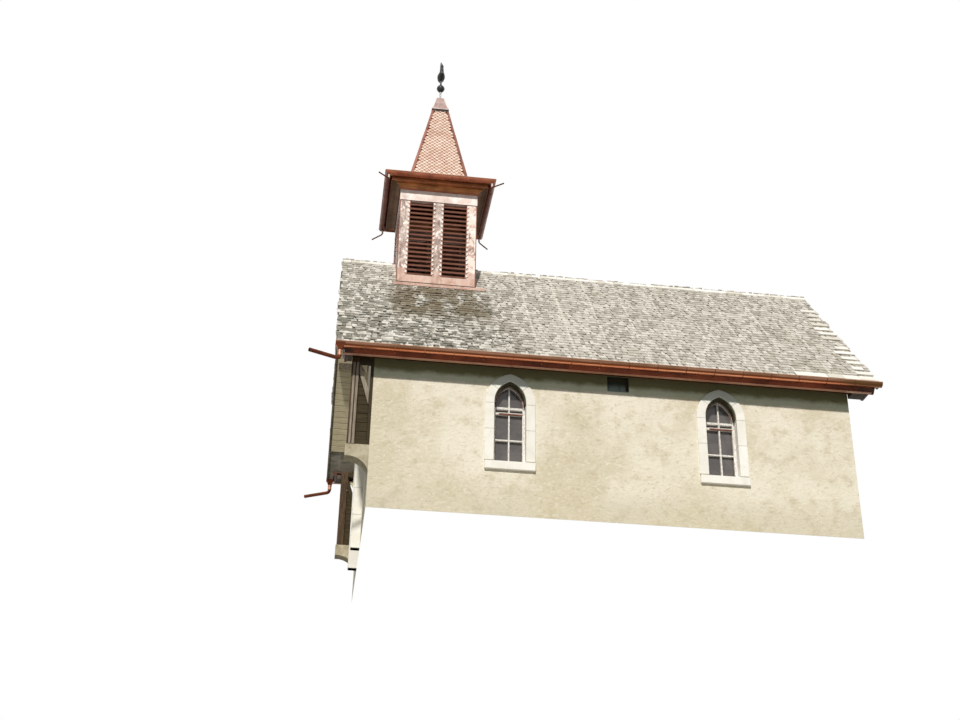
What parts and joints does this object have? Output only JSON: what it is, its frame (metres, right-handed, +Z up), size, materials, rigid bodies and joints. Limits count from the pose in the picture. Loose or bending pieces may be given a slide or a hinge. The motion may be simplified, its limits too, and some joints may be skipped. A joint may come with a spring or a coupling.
{
  "type": "small chapel",
  "caption": "Small mountain chapel: rendered nave with pointed windows, shingled roof, copper eave cornice and louvred bell turret with spire and weathercock.",
  "frame": {"origin": "middle of the nave's plan, at the foot of its walls", "axes": "+X along the nave to the east, -Y out of the front wall, +Z up"},
  "size_m": [11.3097, 7.5974, 13.1801],
  "materials": {
    "brown_copper": "browned copper",
    "dark_copper": "blackened copper",
    "dark_timber": "dark stained timber",
    "dressed_stone": "dressed pale stone",
    "grey_timber": "weathered timber",
    "lime_render": "rough lime render",
    "louvre_copper": "dark copper blades",
    "painted_window_timber": "painted timber",
    "pale_copper": "bright copper sheet",
    "weathered_shingle": "weathered grey shingles",
    "window_glass": "dark leaded glass"
  },
  "bodies": {
    "building": {"back_cheek_boards": "grey_timber", "back_cheek_frame": "grey_timber", "back_cheek_stone": "dressed_stone", "back_eave_cornice": "brown_copper", "back_gutter": "brown_copper", "back_wall": "lime_render", "back_window_frames": "painted_window_timber", "back_window_glass": "window_glass", "back_window_surrounds": "dressed_stone", "door_leaf": "dark_timber", "door_surround": "dressed_stone", "east_gable_wall": "lime_render", "east_verge_board": "grey_timber", "eave_spouts": "brown_copper", "finial": "dark_copper", "floor_slab": "dressed_stone", "front_cheek_boards": "grey_timber", "front_cheek_frame": "grey_timber", "front_cheek_stone": "dressed_stone", "front_eave_cornice": "brown_copper", "front_gutter": "brown_copper", "front_wall": "lime_render", "front_window_frames": "painted_window_timber", "front_window_glass": "window_glass", "front_window_surrounds": "dressed_stone", "ridge_caps": "weathered_shingle", "roof_back_slope": "weathered_shingle", "roof_front_slope": "weathered_shingle", "roof_timbers": "grey_timber", "spire": "pale_copper", "spire_cap": "pale_copper", "turret_back_louvres": "louvre_copper", "turret_back_wall": "pale_copper", "turret_cornice": "brown_copper", "turret_east_wall": "pale_copper", "turret_flashing": "pale_copper", "turret_frieze": "pale_copper", "turret_front_louvres": "louvre_copper", "turret_front_wall": "pale_copper", "turret_gutter": "brown_copper", "turret_side_louvres": "louvre_copper", "turret_spouts": "brown_copper", "turret_west_wall": "pale_copper", "vent_panels": "dark_timber", "west_gable_wall": "lime_render", "west_verge_board": "grey_timber"},
    "weathercock": {"weathercock": "dark_copper"}
  },
  "joints": [
    {"name": "weathercock_turn", "type": "hinge", "parent": "building", "child": "weathercock", "pos_m": [-3.46, 0, 12.6], "axis": [0, 0, 1], "continuous": true}
  ]
}
